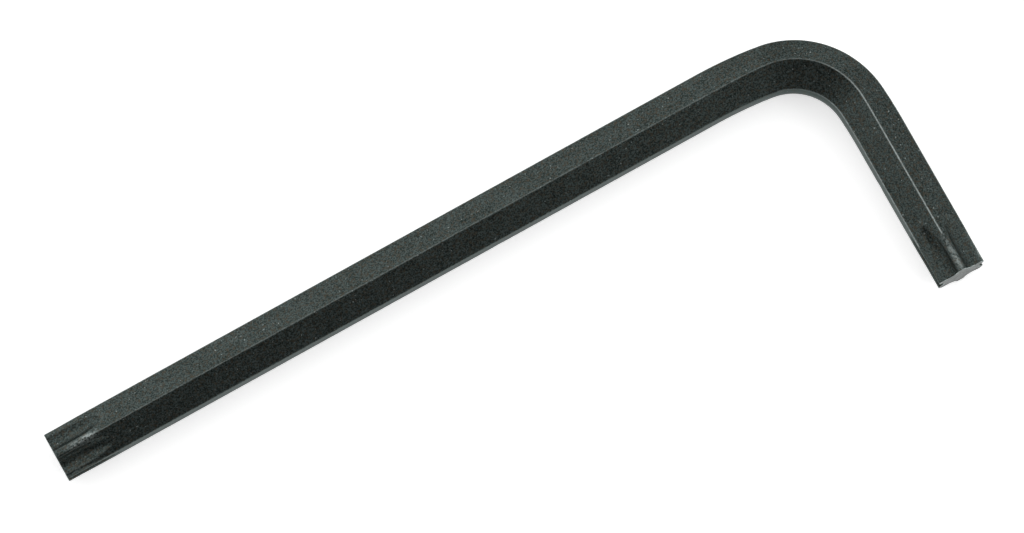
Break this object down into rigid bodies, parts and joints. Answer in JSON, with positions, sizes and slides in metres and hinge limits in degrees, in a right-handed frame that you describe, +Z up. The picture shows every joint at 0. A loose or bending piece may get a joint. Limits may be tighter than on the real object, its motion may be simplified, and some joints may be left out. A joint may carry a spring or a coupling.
{
  "type": "star-drive key",
  "caption": "L-shaped hand key bent from hexagonal steel bar, with a star-drive tip at the end of each arm, in a black oxide finish.",
  "frame": {"origin": "bottom centre of the bounding box of the key lying flat on a corner edge of its bar", "axes": "+X along the long arm towards its tip, +Y along the short arm towards its tip, +Z up, square to the plane of the L"},
  "size_m": [0.063, 0.0214, 0.004],
  "materials": {
    "black_oxide": "satin black oxide over drawn steel, with bare sheared ends"
  },
  "bodies": {
    "root": {"star_key": "black_oxide"}
  },
  "joints": []
}
